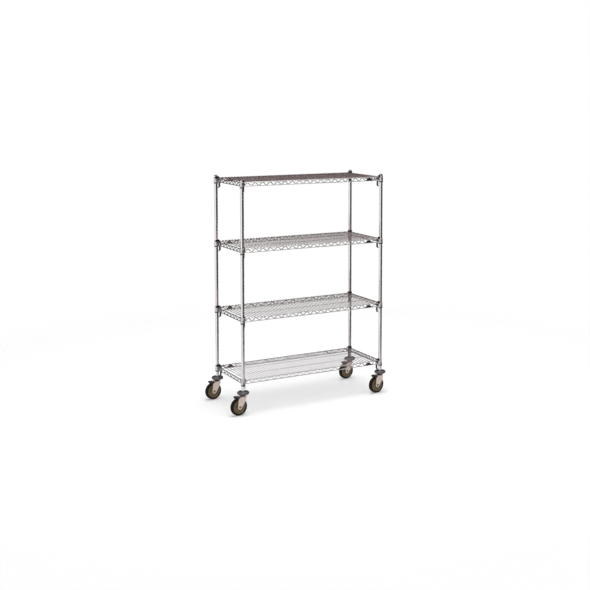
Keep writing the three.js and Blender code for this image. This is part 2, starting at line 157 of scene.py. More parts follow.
class Solid:
    """Closed surfaces in millimetres, gathered into one mesh."""

    def __init__(self):
        self.verts = []
        self.faces = []

    def add(self, verts, faces, place=None):
        start = len(self.verts)
        self.verts += [place @ Vector(v) for v in verts] if place else [Vector(v) for v in verts]
        self.faces += [[start + i for i in face] for face in faces]
        return self

    def lathe(self, profile, segments=48, place=None):
        """A closed [radius, height] profile, anticlockwise with the axis on its left, turned round Z."""
        count = len(profile)
        verts = []
        for step in range(segments):
            angle = 2 * math.pi * step / segments
            cosine, sine = math.cos(angle), math.sin(angle)
            verts += [(r * cosine, r * sine, z) for r, z in profile]
        faces = []
        for step in range(segments):
            a, b = step * count, ((step + 1) % segments) * count
            for i in range(count):
                j = (i + 1) % count
                faces.append((a + i, b + i, b + j, a + j))
        return self.add(verts, faces, place)

    def spindle(self, profile, segments=48, place=None):
        """An open profile that starts and ends on the axis, turned round Z."""
        inner = profile[1:-1]
        count = len(inner)
        verts = [(0, 0, profile[0][1]), (0, 0, profile[-1][1])]
        for step in range(segments):
            angle = 2 * math.pi * step / segments
            verts += [(r * math.cos(angle), r * math.sin(angle), z) for r, z in inner]
        faces = []
        for step in range(segments):
            a = 2 + step * count
            b = 2 + ((step + 1) % segments) * count
            faces.append((0, b, a))
            faces.append((1, a + count - 1, b + count - 1))
            faces += [(a + i, b + i, b + i + 1, a + i + 1) for i in range(count - 1)]
        return self.add(verts, faces, place)

    def tube(self, path, radius, sides=10, place=None):
        """A round wire along a path, with its ends slightly domed."""
        points = [Vector(p) for p in path]
        first = (points[1] - points[0]).normalized()
        last = (points[-1] - points[-2]).normalized()
        dome = radius * 0.35
        points = [points[0], points[0] + first * dome, *points[1:-1], points[-1] - last * dome, points[-1]]
        radii = [radius * 0.7, *[radius] * (len(points) - 2), radius * 0.7]
        directions = [first]
        for before, here, after in zip(points, points[1:], points[2:]):
            directions.append(((here - before).normalized() + (after - here).normalized()).normalized())
        directions.append(last)
        side = first.orthogonal().normalized()
        verts = []
        for point, direction, r in zip(points, directions, radii):
            side = (side - direction * side.dot(direction)).normalized()
            other = direction.cross(side)
            for step in range(sides):
                angle = 2 * math.pi * step / sides
                verts.append(point + side * (r * math.cos(angle)) + other * (r * math.sin(angle)))
        faces = [tuple(reversed(range(sides)))]
        for ring in range(len(points) - 1):
            a, b = ring * sides, (ring + 1) * sides
            faces += [(a + i, a + (i + 1) % sides, b + (i + 1) % sides, b + i) for i in range(sides)]
        faces.append(tuple(range((len(points) - 1) * sides, len(points) * sides)))
        return self.add(verts, faces, place)

    def prism(self, outline, low, high, bevel=0.6, steps=2, place=None):
        """An outline of (x, z) points given a thickness along Y from low to high, its edges rounded."""
        mesh = bmesh.new()
        base = [mesh.verts.new((x, low, z)) for x, z in outline]
        face = mesh.faces.new(base)
        grown = bmesh.ops.extrude_face_region(mesh, geom=[face])
        moved = [item for item in grown["geom"] if isinstance(item, bmesh.types.BMVert)]
        bmesh.ops.translate(mesh, verts=moved, vec=(0, high - low, 0))
        bmesh.ops.recalc_face_normals(mesh, faces=mesh.faces)
        if bevel:
            sharp = [edge for edge in mesh.edges if edge.calc_face_angle(0) > math.radians(28)]
            bmesh.ops.bevel(mesh, geom=sharp, offset=bevel, segments=steps, profile=0.5, affect="EDGES",
                            clamp_overlap=True)
        mesh.verts.index_update()
        verts = [tuple(v.co) for v in mesh.verts]
        faces = [tuple(v.index for v in face.verts) for face in mesh.faces]
        mesh.free()
        return self.add(verts, faces, place)

    def block(self, low, high, bevel=0.6, steps=2, place=None):
        outline = [(low[0], low[2]), (high[0], low[2]), (high[0], high[2]), (low[0], high[2])]
        return self.prism(outline, low[1], high[1], bevel, steps, place)

    def mesh(self, name, smooth_angle=40):
        data = bpy.data.meshes.new(name)
        data.from_pydata([tuple(v * MM) for v in self.verts], [], self.faces)
        data.validate()
        solid = bmesh.new()
        solid.from_mesh(data)
        bmesh.ops.recalc_face_normals(solid, faces=solid.faces)
        solid.to_mesh(data)
        solid.free()
        data.shade_smooth()
        data.set_sharp_from_angle(angle=math.radians(smooth_angle))
        return data


def arc(centre, radius, start, end, steps):
    """(x, z) points on an arc, from start to end degrees."""
    angles = (math.radians(start + (end - start) * i / steps) for i in range(steps + 1))
    return [(centre[0] + radius * math.cos(a), centre[1] + radius * math.sin(a)) for a in angles]


def rounded(outline, radius, steps=4):
    """The same closed outline with each of its corners drawn as an arc."""
    points = []
    count = len(outline)
    for i, corner in enumerate(outline):
        here = Vector(corner)
        before, after = Vector(outline[i - 1]) - here, Vector(outline[(i + 1) % count]) - here
        cut = min(radius, before.length * 0.45, after.length * 0.45)
        start, end = here + before.normalized() * cut, here + after.normalized() * cut
        for step in range(steps + 1):
            t = step / steps
            point = start * (1 - t) ** 2 + here * (2 * t * (1 - t)) + end * t ** 2
            points.append(tuple(point))
    return points


def softened(path, radius, steps=4):
    """The same open path of 3-D points with its bends rounded."""
    points = [Vector(path[0])]
    for before, here, after in zip(path, path[1:], path[2:]):
        here = Vector(here)
        back, ahead = Vector(before) - here, Vector(after) - here
        start = here + back.normalized() * min(radius, back.length * 0.45)
        end = here + ahead.normalized() * min(radius, ahead.length * 0.45)
        for step in range(steps + 1):
            t = step / steps
            points.append(start * (1 - t) ** 2 + here * (2 * t * (1 - t)) + end * t ** 2)
    points.append(Vector(path[-1]))
    return points


def place_piece(name, data, material, matrix, body, nodes=()):
    piece = bpy.data.objects.new(name, data)
    scene.collection.objects.link(piece)
    if not data.materials:
        data.materials.append(material)
    piece.matrix_world = matrix
    piece.modifiers.new("flat faces stay flat", "WEIGHTED_NORMAL").keep_sharp = True
    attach(piece, body)
    if nodes:
        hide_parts(*nodes)
    return piece


# ---- materials ------------------------------------------------------------------------------------


class Finish:
    """A procedural finish: noise-driven colour, roughness and bump on one Principled shader."""

    def __init__(self, name, **fixed):
        self.material = bpy.data.materials.new(name)
        self.material.use_nodes = True
        self.tree = self.material.node_tree
        self.shader = self.tree.nodes["Principled BSDF"]
        for socket, value in fixed.items():
            self.shader.inputs[socket.replace("_", " ")].default_value = value
        self.coordinates = self.node("ShaderNodeTexCoord").outputs["Object"]
        self.height = None

    def node(self, kind, **settings):
        made = self.tree.nodes.new(kind)
        for key, value in settings.items():
            setattr(made, key, value)
        return made

    def link(self, output, socket):
        self.tree.links.new(output, socket)

    def noise(self, scale, detail=4.0, roughness=0.55, stretch=(1, 1, 1)):
        mapping = self.node("ShaderNodeMapping")
        mapping.inputs["Scale"].default_value = stretch
        self.link(self.coordinates, mapping.inputs["Vector"])
        noise = self.node("ShaderNodeTexNoise")
        noise.inputs["Scale"].default_value = scale
        noise.inputs["Detail"].default_value = detail
        noise.inputs["Roughness"].default_value = roughness
        self.link(mapping.outputs["Vector"], noise.inputs["Vector"])
        return noise.outputs["Fac"]

    def cells(self, scale):
        cells = self.node("ShaderNodeTexVoronoi")
        cells.inputs["Scale"].default_value = scale
        self.link(self.coordinates, cells.inputs["Vector"])
        return cells.outputs["Color"]

    def ramp(self, source, stops):
        ramp = self.node("ShaderNodeValToRGB")
        elements = ramp.color_ramp.elements
        while len(elements) < len(stops):
            elements.new(0.5)
        for element, (position, colour) in zip(elements, stops):
            element.position = position
            element.color = (*colour, 1) if len(colour) == 3 else colour
        self.link(source, ramp.inputs["Fac"])
        return ramp.outputs["Color"]

    def math(self, operation, first, second=None, third=None):
        made = self.node("ShaderNodeMath", operation=operation)
        for socket, value in zip(made.inputs, (first, second, third)):
            if value is None:
                continue
            if isinstance(value, (int, float)):
                socket.default_value = value
            else:
                self.link(value, socket)
        return made.outputs[0]

    def mix(self, factor, first, second):
        made = self.node("ShaderNodeMix", data_type="RGBA")
        self.link(factor, made.inputs["Factor"])
        for socket, value in ((made.inputs[6], first), (made.inputs[7], second)):
            if isinstance(value, tuple):
                socket.default_value = (*value, 1)
            else:
                self.link(value, socket)
        return made.outputs[2]

    def span(self, source, low, high):
        """The source's 0.3 to 0.7 range, stretched from low to high."""
        made = self.node("ShaderNodeMapRange")
        made.inputs["From Min"].default_value = 0.3
        made.inputs["From Max"].default_value = 0.7
        made.inputs["To Min"].default_value = low
        made.inputs["To Max"].default_value = high
        self.link(source, made.inputs["Value"])
        return made.outputs["Result"]

    def colour(self, source):
        self.link(source, self.shader.inputs["Base Color"])
        return self

    def roughness(self, source):
        self.link(source, self.shader.inputs["Roughness"])
        return self

    def bump(self, source, strength, distance):
        made = self.node("ShaderNodeBump")
        made.inputs["Strength"].default_value = strength
        made.inputs["Distance"].default_value = distance
        self.link(source, made.inputs["Height"])
        if self.height is not None:
            self.link(self.height, made.inputs["Normal"])
        self.height = made.outputs["Normal"]
        self.link(self.height, self.shader.inputs["Normal"])
        return self


def post_chrome():
    """Bright plate with drawing lines along the tube and a little dirt held in every rolled groove."""
    f = Finish("post_chrome", Metallic=1.0)
    split = f.node("ShaderNodeSeparateXYZ")
    f.link(f.coordinates, split.inputs[0])
    pitch = f.math("DIVIDE", split.outputs["Z"], GROOVE_PITCH * MM)
    off_groove = f.math("PINGPONG", pitch, 0.5)
    groove = f.math("LESS_THAN", off_groove, 0.03)
    tint = f.ramp(f.noise(9, 3), [(0.3, (0.82, 0.80, 0.795)), (0.7, (0.90, 0.885, 0.88))])
    dirt = f.math("MULTIPLY", groove, f.noise(60, 3))
    f.colour(f.mix(dirt, tint, (0.62, 0.595, 0.585)))
    smudge = f.span(f.noise(35, 5), 0.07, 0.17)
    f.roughness(f.math("ADD", smudge, f.math("MULTIPLY", dirt, 0.2)))
    f.bump(f.noise(700, 2, stretch=(1, 1, 0.04)), 0.06, 0.0002)
    return f.material


def wire_chrome(name, dark, light):
    """Plated wire: duller than the posts, with plating ripple and darker handling marks."""
    f = Finish(name, Metallic=1.0)
    f.colour(f.ramp(f.noise(14, 5), [(0.3, dark), (0.72, light)]))
    f.roughness(f.span(f.noise(120, 4), 0.18, 0.34))
    f.bump(f.noise(1400, 3), 0.12, 0.0002)
    return f.material


def collar_chrome():
    f = Finish("collar_chrome", Metallic=1.0)
    f.colour(f.ramp(f.noise(30, 5), [(0.3, (0.60, 0.575, 0.565)), (0.7, (0.76, 0.74, 0.73))]))
    f.roughness(f.span(f.noise(90, 5), 0.16, 0.36))
    f.bump(f.noise(420, 4), 0.18, 0.0004)
    return f.material


def moulded_plastic(name, dark, light, low, high, grain=900, sheen=0.5):
    """Moulded plastic: a fine spark-eroded grain, slight mottling and paler rubbed marks."""
    f = Finish(name, Metallic=0.0, Specular_IOR_Level=sheen)
    mottled = f.ramp(f.noise(55, 5), [(0.35, dark), (0.75, light)])
    rubbed = f.ramp(f.noise(260, 6, 0.7), [(0.66, (0, 0, 0)), (0.8, (0.35, 0.35, 0.35))])
    f.colour(f.mix(rubbed, mottled, tuple(min(1, c * 2.4 + 0.02) for c in light)))
    f.roughness(f.span(f.noise(150, 4), low, high))
    f.bump(f.noise(grain, 2), 0.22, 0.0003)
    return f.material


def rubber(name, dark, light, dust, low, high, sheen=0.4):
    """Rubber with a bloom of dust in patches and a slightly orange-peel skin."""
    f = Finish(name, Metallic=0.0, Specular_IOR_Level=sheen)
    body = f.ramp(f.noise(40, 4), [(0.3, dark), (0.7, light)])
    bloom = f.ramp(f.noise(95, 6, 0.65), [(0.55, (0, 0, 0)), (0.78, (0.4, 0.4, 0.4))])
    f.colour(f.mix(bloom, body, dust))
    f.roughness(f.span(f.noise(130, 4), low, high))
    f.bump(f.noise(650, 4), 0.28, 0.0004)
    f.bump(f.noise(45, 2), 0.1, 0.0012)
    return f.material


def zinc_steel():
    """Zinc-plated pressed steel: soft spangles, a warm passivation tint and fine rolling lines."""
    f = Finish("zinc_steel", Metallic=0.4, Specular_IOR_Level=0.5)
    spangle = f.ramp(f.cells(260), [(0.2, (0.72, 0.58, 0.49)), (0.8, (0.93, 0.80, 0.71))])
    cast = f.ramp(f.noise(45, 4), [(0.35, (0.75, 0.61, 0.52)), (0.7, (0.94, 0.82, 0.74))])
    f.colour(f.mix(f.noise(80, 3), spangle, cast))
    f.roughness(f.span(f.noise(200, 4), 0.34, 0.52))
    f.bump(f.noise(900, 3, stretch=(1, 1, 0.1)), 0.15, 0.0003)
    return f.material


def plain_steel(name, dark, light, low, high):
    f = Finish(name, Metallic=1.0)
    f.colour(f.ramp(f.noise(150, 5), [(0.3, dark), (0.7, light)]))
    f.roughness(f.span(f.noise(300, 4), low, high))
    f.bump(f.noise(1200, 3), 0.2, 0.0002)
    return f.material


def wheel_core():
    """Olive moulded core: flow marks round the hub and pale scuffs."""
    f = Finish("wheel_core", Metallic=0.0, Specular_IOR_Level=0.45)
    body = f.ramp(f.noise(48, 6, 0.65), [(0.32, (0.075, 0.052, 0.022)), (0.68, (0.22, 0.160, 0.078))])
    scuff = f.ramp(f.noise(170, 6, 0.7), [(0.6, (0, 0, 0)), (0.82, (0.5, 0.5, 0.5))])
    f.colour(f.mix(scuff, body, (0.38, 0.30, 0.2)))
    f.roughness(f.span(f.noise(120, 4), 0.42, 0.62))
    f.bump(f.noise(500, 4), 0.25, 0.0004)
    return f.material


MATERIALS = {
    "post": post_chrome(),
    "mat": wire_chrome("mat_wire", (0.36, 0.28, 0.27), (0.54, 0.44, 0.43)),
    # long rails: the same plated wire, coloured lighter as a painted reflection of the white surround
    "long_rail": wire_chrome("long_rail_wire_painted_reflection", (0.52, 0.485, 0.475), (0.72, 0.69, 0.68)),
    # end rails: the same plated wire, coloured darker as painted shade
    "end_rail": wire_chrome("end_rail_wire_painted_shade", (0.24, 0.215, 0.208), (0.40, 0.365, 0.355)),
    # zigzags: the same plated wire, coloured near black as painted shade
    "zigzag": wire_chrome("zigzag_wire_painted_shade", (0.045, 0.040, 0.038), (0.10, 0.09, 0.086)),
    "collar": collar_chrome(),
    "cap": moulded_plastic("cap_grey", (0.085, 0.08, 0.078), (0.14, 0.135, 0.13), 0.42, 0.6),
    "black": moulded_plastic("black_plastic", (0.010, 0.009, 0.010), (0.024, 0.021, 0.023), 0.3, 0.5),
    "wedge": moulded_plastic("wedge_black", (0.006, 0.005, 0.006), (0.013, 0.011, 0.012), 0.5, 0.68,
                             sheen=0.2),
    "lever": moulded_plastic("lever_black", (0.030, 0.027, 0.028), (0.055, 0.050, 0.052), 0.4, 0.6),
    "badge": moulded_plastic("badge_navy", (0.005, 0.006, 0.016), (0.009, 0.011, 0.030), 0.24, 0.38, 1500),
    "zinc": zinc_steel(),
    "bolt": plain_steel("bolt_steel", (0.20, 0.185, 0.175), (0.36, 0.335, 0.32), 0.28, 0.45),
    # raceway: steel coloured near black, painted shade under the bumper
    "raceway": plain_steel("raceway_steel_painted_shade", (0.035, 0.028, 0.032), (0.10, 0.085, 0.09), 0.35, 0.55),
    "bumper": rubber("bumper_rubber", (0.040, 0.032, 0.038), (0.080, 0.066, 0.075), (0.19, 0.16, 0.18),
                     0.30, 0.46, sheen=0.9),
    "core": wheel_core(),
    "tyre": rubber("tyre_rubber", (0.008, 0.0035, 0.0035), (0.015, 0.008, 0.0075), (0.032, 0.020, 0.017),
                   0.55, 0.75, sheen=0.12),
}

# ---- posts and caps -------------------------------------------------------------------------------


def post_mesh():
    """A tube with a rolled groove every inch and a pair of guide grooves every eighth inch mark."""
    height = post_top - post_bottom
    outside = [(POST_RADIUS - 0.5, 0), (POST_RADIUS, 0.6)]
    count = int((height - 10) // GROOVE_PITCH)
    for i in range(1, count + 1):
        z = i * GROOVE_PITCH
        centres = [z - 2.2, z + 2.2] if i % GUIDE_GROOVE_EVERY == 0 else [z]
        for centre in centres:
            outside += [
                (POST_RADIUS, centre - GROOVE_HALF),
                (POST_RADIUS - GROOVE_DEPTH * 0.8, centre - GROOVE_HALF * 0.35),
                (POST_RADIUS - GROOVE_DEPTH * 0.8, centre + GROOVE_HALF * 0.35),
                (POST_RADIUS, centre + GROOVE_HALF),
            ]
    outside += [(POST_RADIUS, height - 0.6), (POST_RADIUS - 0.5, height)]
    inside = [(POST_BORE, height), (POST_BORE, 0)]
    return Solid().lathe(outside + inside, 40).mesh("post", 50)


def cap_mesh():
    """A domed cap with a rolled rim, and the ribbed plug that holds it in the tube."""
    profile = [(0, -13), (9.6, -13), (10.6, -11.5), (10.7, -5), (10.3, -4.4), (10.7, -3.8), (10.7, 0.4),
               (12.3, 0.4), (12.9, 0.9), (12.9, 3.6), (12.5, 4.3)]
    top = [(12.5 * math.cos(math.radians(t)), 4.3 + 3.7 * math.sin(math.radians(t)))
           for t in range(12, 90, 13)]
    return Solid().spindle(profile + top + [(0, 8.0)], 40).mesh("post_cap", 35)


def build_uprights():
    post = post_mesh()
    cap = cap_mesh()
    for corner in CORNERS:
        x, y = post_xy[corner]
        foot = Matrix.Translation((x, y, post_bottom * MM))
        head = Matrix.Translation((x, y, post_top * MM))
        place_piece(f"post_tube_{corner}", post, MATERIALS["post"], foot, "root",
                    [f"post_{corner}"])
        place_piece(f"post_end_cap_{corner}", cap, MATERIALS["cap"], head, "root",
                    [f"post_cap_{corner}"])


# ---- shelves --------------------------------------------------------------------------------------


def mat_mesh():
    """Wires from front to back, resting on the rails and on the two rods that run the shelf's length.

    They are thicker than the CAD's, whose thickness came out paler here than in the photo.
    """
    solid = Solid()
    reach = span_y / 2 + RAIL_RADIUS * 0.75
    pitch = span_x / MAT_PITCHES
    wobble = random.Random(7)
    for i in range(1, MAT_PITCHES):
        x = -span_x / 2 + i * pitch
        bow = wobble.uniform(-0.25, 0.25)
        path = [(x, -reach, MAT_Z), (x + bow, -reach / 3, MAT_Z),
                (x + bow, reach / 3, MAT_Z), (x, reach, MAT_Z)]
        solid.tube(path, MAT_RADIUS, 10)
    return solid.mesh("mat", 50)


def shelf_edges():
    """Span, zigzag steps and placement of the shelf's four edges, each with its outside facing -Y."""
    sides = ((span_x, LONG_STEPS, span_y), (span_y, SHORT_STEPS, span_x)) * 2
    for i, (span, steps, reach) in enumerate(sides):
        yield span, steps, Matrix.Rotation(i * math.pi / 2, 4, "Z") @ Matrix.Translation((0, -reach / 2, 0))


def rails_mesh(name, long_edges):
    """Two rails along either pair of edges; the long pair brings the two rods under the mat."""
    solid = Solid()
    for span, _, place in shelf_edges():
        if (span == span_x) != long_edges:
            continue
        half = span / 2 - RAIL_SETBACK
        for height in (BOTTOM_RAIL_Z, TOP_RAIL_Z):
            solid.tube([(-half, 0, height), (half, 0, height)], RAIL_RADIUS, 14, place)
    if long_edges:
        end = span_x / 2 + RAIL_RADIUS * 0.4
        for y in (-MID_ROD_Y, MID_ROD_Y):
            solid.tube([(-end, y, MID_ROD_Z), (end, y, MID_ROD_Z)], MID_ROD_RADIUS, 12)
    return solid.mesh(name, 50)


def zigzags_mesh():
    """A zigzag wire between each pair of rails, on the side that faces the shelf's middle."""
    solid = Solid()
    behind = RAIL_RADIUS + ZIGZAG_RADIUS - 1.0
    heights = (BOTTOM_RAIL_Z, TOP_RAIL_Z)
    for span, steps, place in shelf_edges():
        half = span / 2 - RAIL_SETBACK
        path = [(-half + i * 2 * half / steps, behind, heights[i % 2]) for i in range(steps + 1)]
        solid.tube(softened(path, ZIGZAG_BEND), ZIGZAG_RADIUS, 8, place)
    return solid.mesh("zigzags", 50)


def corner_mesh():
    """The collar and the lever's housing beside it, with the lever's pin and weld beads."""
    solid = Solid()
    lip = COLLAR_RADIUS + 0.7
    solid.lathe([
        (COLLAR_BORE, 0.3), (COLLAR_RADIUS, 0), (lip, 0.6), (lip, 2.6), (COLLAR_RADIUS, 3.6),
        (COLLAR_RADIUS - 0.4, 20), (COLLAR_RADIUS - 0.5, 34.6), (COLLAR_RADIUS + 0.1, 35.6),
        (COLLAR_RADIUS + 0.1, 37.4), (COLLAR_RADIUS - 0.5, 38), (COLLAR_BORE, 37.8),
    ], 48)
    cheek = rounded([(14.6, 0.6), (30, 0.6), (35.6, 5), (35.6, 18), (29, 34.4), (14.6, 34.4)], 3)
    for side in (-1, 1):
        solid.prism(cheek, *sorted((side * 6.2, side * 8.8)), 0.5)
        pin_head = Matrix.Translation((LEVER_REACH, side * 8.6, LEVER_PIVOT_Z)) @ Matrix.Rotation(
            -side * math.pi / 2, 4, "X")
        solid.spindle([(0, -1.5), (3.4, -1.5), (3.4, 0.6), (2.6, 1.3), (0, 1.6)], 20, pin_head)
        for height in (3.5, 32):
            bead = [(11.4, side * 11.6, height), (12.5, side * 10.4, height), (14.4, side * 9.4, height)]
            solid.tube(bead, 1.3, 8)
    solid.block((14.8, -6.6, 24), (19.2, 6.6, 33.8), 0.5)
    pin_along = Matrix.Translation((LEVER_REACH, -9, LEVER_PIVOT_Z)) @ Matrix.Rotation(-math.pi / 2, 4, "X")
    solid.spindle([(0, 0), (2.3, 0), (2.3, 18), (0, 18)], 20, pin_along)
    bead_radius = RAIL_RADIUS + 0.5
    for direction in (-1, 1):
        turn = Matrix.Rotation(direction * math.pi / 4, 4, "Z")
        for height in (BOTTOM_RAIL_Z, TOP_RAIL_Z):
            ring = [(COLLAR_RADIUS - 0.3, bead_radius * math.cos(a), height + bead_radius * math.sin(a))
                    for a in (math.radians(t) for t in range(0, 330, 30))]
            solid.tube(ring, 0.9, 6, turn)
    return solid.mesh("corner", 40)


def sleeve_mesh():
    """The split sleeve between post and collar, which shows as a dark line under the collar."""
    return Solid().lathe([
        (SLEEVE_BORE, -SLEEVE_DROP), (COLLAR_BORE + 0.6, -SLEEVE_DROP),
        (COLLAR_BORE + 0.9, -SLEEVE_DROP + 0.6), (COLLAR_BORE + 0.9, -0.6),
        (COLLAR_BORE - 0.2, 0.2), (COLLAR_BORE - 0.2, COLLAR_HEIGHT + 0.8),
        (COLLAR_BORE - 0.7, COLLAR_HEIGHT + 1.3), (SLEEVE_BORE, COLLAR_HEIGHT + 1.3),
    ], 48).mesh("sleeve", 40)


def wedge_mesh():
    """A lever's clamping wedge: a sloping foot, a ribbed top and a half ring round the post."""
    solid = Solid()
    outside = [(17.2 * math.cos(a), 17.2 * math.sin(a))
               for a in (math.radians(t) for t in range(-92, 93, 8))]
    inside = [(13.1 * math.cos(a), 13.1 * math.sin(a))
              for a in (math.radians(t) for t in range(92, -93, -8))]
    lying = Matrix.Rotation(math.pi / 2, 4, "X")
    solid.prism(outside + inside, 30.0, 46.6, 0.7, 3, lying)
    foot = rounded([(14.8, 18.6), (34.4, 18.6), (34.8, 22.6), (24.6, 34.2), (14.8, 34.4)], 1.2, 3)
    solid.prism(foot, -9.6, 9.6, 0.8)
    top = rounded([(13.6, 32), (23.4, 32), (23.4, 41.5), (20.0, 46.6), (13.2, 46.6)], 1.2, 3)
    solid.prism(top, -8.0, 8.0, 0.8)
    for offset in (-5, 0, 5):
        solid.block((13.8, offset - 0.9, 45.6), (19.2, offset + 0.9, 47.0), 0.3, 1)
    return solid.mesh("wedge", 40)


def badge_mesh():
    """A plain blank plate that fills one triangle of the truss."""
    step = (span_x - 2 * RAIL_SETBACK) / LONG_STEPS
    low, high = BOTTOM_RAIL_Z + 2.0, TOP_RAIL_Z - 5.0
    outline = rounded([(-step - 1, low), (step + 1, low), (7, high), (-7, high)], 4, 6)
    solid = Solid()
    solid.prism(outline, -3.9, -2.7, 0.45, 3)
    rim = rounded([(-step + 7, low + 2.4), (step - 7, low + 2.4), (5, high - 2.6), (-5, high - 2.6)], 3, 6)
    solid.prism(rim, -4.3, -3.7, 0.25, 2)
    for side in (-1, 1):
        solid.block((side * 12 - 2, -3.0, low + 1), (side * 12 + 2, 3.0, low + 5), 0.4, 1)
    return solid.mesh("badge", 40)


def lever_mesh():
    """A flat bar with an eye at the top, ribs along its face and a hooked tip."""
    half = LEVER_HALF_DEPTH
    tip = -LEVER_DROP
    outline = [*arc((0, 0), half, 0, 180, 18), (-half, tip + 12), (-half - 1.6, tip + 7),
               (-half - 6.6, tip + 3.4), (-half - 5.2, tip + 0.3), (0.6, tip + 3.4), (half, tip + 9)]
    solid = Solid()
    solid.prism(outline, -LEVER_WIDTH / 2 + 1, LEVER_WIDTH / 2 - 1, 0.7, 3)
    for side in (-1, 1):
        flange = rounded([(half, -7), (-half, -7), (-half, tip + 14), (half, tip + 14)], 2, 4)
        edge = side * LEVER_WIDTH / 2
        solid.prism(flange, *sorted((edge, edge - side * 1.6)), 0.4, 2)
    for i in range(4):
        low = tip + 11 + i * 2.6
        solid.block((half - 0.4, -3.2, low), (half + 0.4, 3.2, low + 1.1), 0.25, 1)
    return solid.mesh("lever", 40)


def badge_matrices(level):
    """The third upright triangle from the right end of the front, and its twin at the back."""
    step = (span_x - 2 * RAIL_SETBACK) / LONG_STEPS
    across = span_x / 2 - RAIL_SETBACK - step * BADGE_STEP
    for name, turn in (("front", 0), ("rear", math.pi)):
        spin = Matrix.Rotation(turn, 4, "Z")
        offset = spin @ Vector((across, -span_y / 2, 0))
        centre = Vector((rack_centre.x, rack_centre.y, shelf_z[level]))
        yield name, Matrix.Translation(centre + offset * MM) @ spin


def build_shelves():
    mat = mat_mesh()
    long_rails = rails_mesh("long_rails", True)
    end_rails = rails_mesh("end_rails", False)
    zigzags = zigzags_mesh()
    corner_piece = corner_mesh()
    sleeve = sleeve_mesh()
    wedge = wedge_mesh()
    badge = badge_mesh()
    lever = lever_mesh()
    for level in LEVELS:
        centre = Matrix.Translation((rack_centre.x, rack_centre.y, shelf_z[level]))
        shelf = f"shelf_{level}"
        place_piece(f"wire_mat_{level}", mat, MATERIALS["mat"], centre, "root", [shelf])
        for name, mesh in (("long_rail", long_rails), ("end_rail", end_rails), ("zigzag", zigzags)):
            place_piece(f"edge_{name}s_{level}", mesh, MATERIALS[name], centre, "root",
                        [shelf])
        for name, matrix in badge_matrices(level):
            place_piece(f"blank_badge_{level}_{name}", badge, MATERIALS["badge"], matrix, "root")
        for corner in CORNERS:
            matrix = corner_matrix(corner, shelf_z[level])
            tag = f"{level}_{corner}"
            place_piece(f"collar_{tag}", corner_piece, MATERIALS["collar"], matrix, "root",
                        [shelf])
            place_piece(f"post_sleeve_{tag}", sleeve, MATERIALS["wedge"], matrix, "root")
            place_piece(f"clamp_wedge_{tag}", wedge, MATERIALS["wedge"], matrix, "root",
                        [shelf])
            pivot = matrix.copy()
            pivot.translation = joint_at[f"lever_{tag}_lift"]
            place_piece(f"lever_arm_{tag}", lever, MATERIALS["lever"], pivot, f"lever_{tag}",
                        [f"release_lever_{tag}"])


# ---- casters --------------------------------------------------------------------------------------


def stem_mesh():
    """The stem inside the post, its flange, and the king pin with its riveted head."""
    return Solid().spindle([
        (0, 128.2), (7.6, 128.2), (9, 129.2), (9, 131.6), (8.2, 132.1), (6, 132.1), (6, 148.8),
        (19.4, 148.8), (20, 149.4), (20, 153.8), (19.2, 154.5), (10.6, 154.5), (10.6, 176),
        (10.0, 177), (10.6, 178), (10.6, 204), (8, 208), (0, 208),
    ], 40).mesh("stem", 40)


def bumper_mesh():
    """A donut round the post's foot, dished towards the middle, with a boss that rises round the post."""
    tube_centre = BUMPER_RADIUS - BUMPER_TUBE
    round_side = arc((tube_centre, BUMPER_Z), BUMPER_TUBE, -128, 138, 20)
    bore = POST_RADIUS + 0.7
    return Solid().lathe([
        (bore, 155.2), (22, 155.2), *round_side, (23.4, 165.4), (20.4, 165.6), (17.6, 168.4), (16.2, 173),
        (15.4, 174.4), (14.2, 174.8), (bore, 174.4),
    ], 64).mesh("bumper", 40)


def raceway_mesh():
    """The swivel's dust cover: a cone between the bumper and the fork, coloured near black as painted shade
    from the bumper.
    """
    return Solid().lathe([
        (6.6, 138.6), (17, 138.6), (19, 139.4), (23.4, 144.2), (26, 146), (26.4, 147.2), (25.6, 148.1),
        (6.6, 148.1),
    ], 48).mesh("raceway", 35)


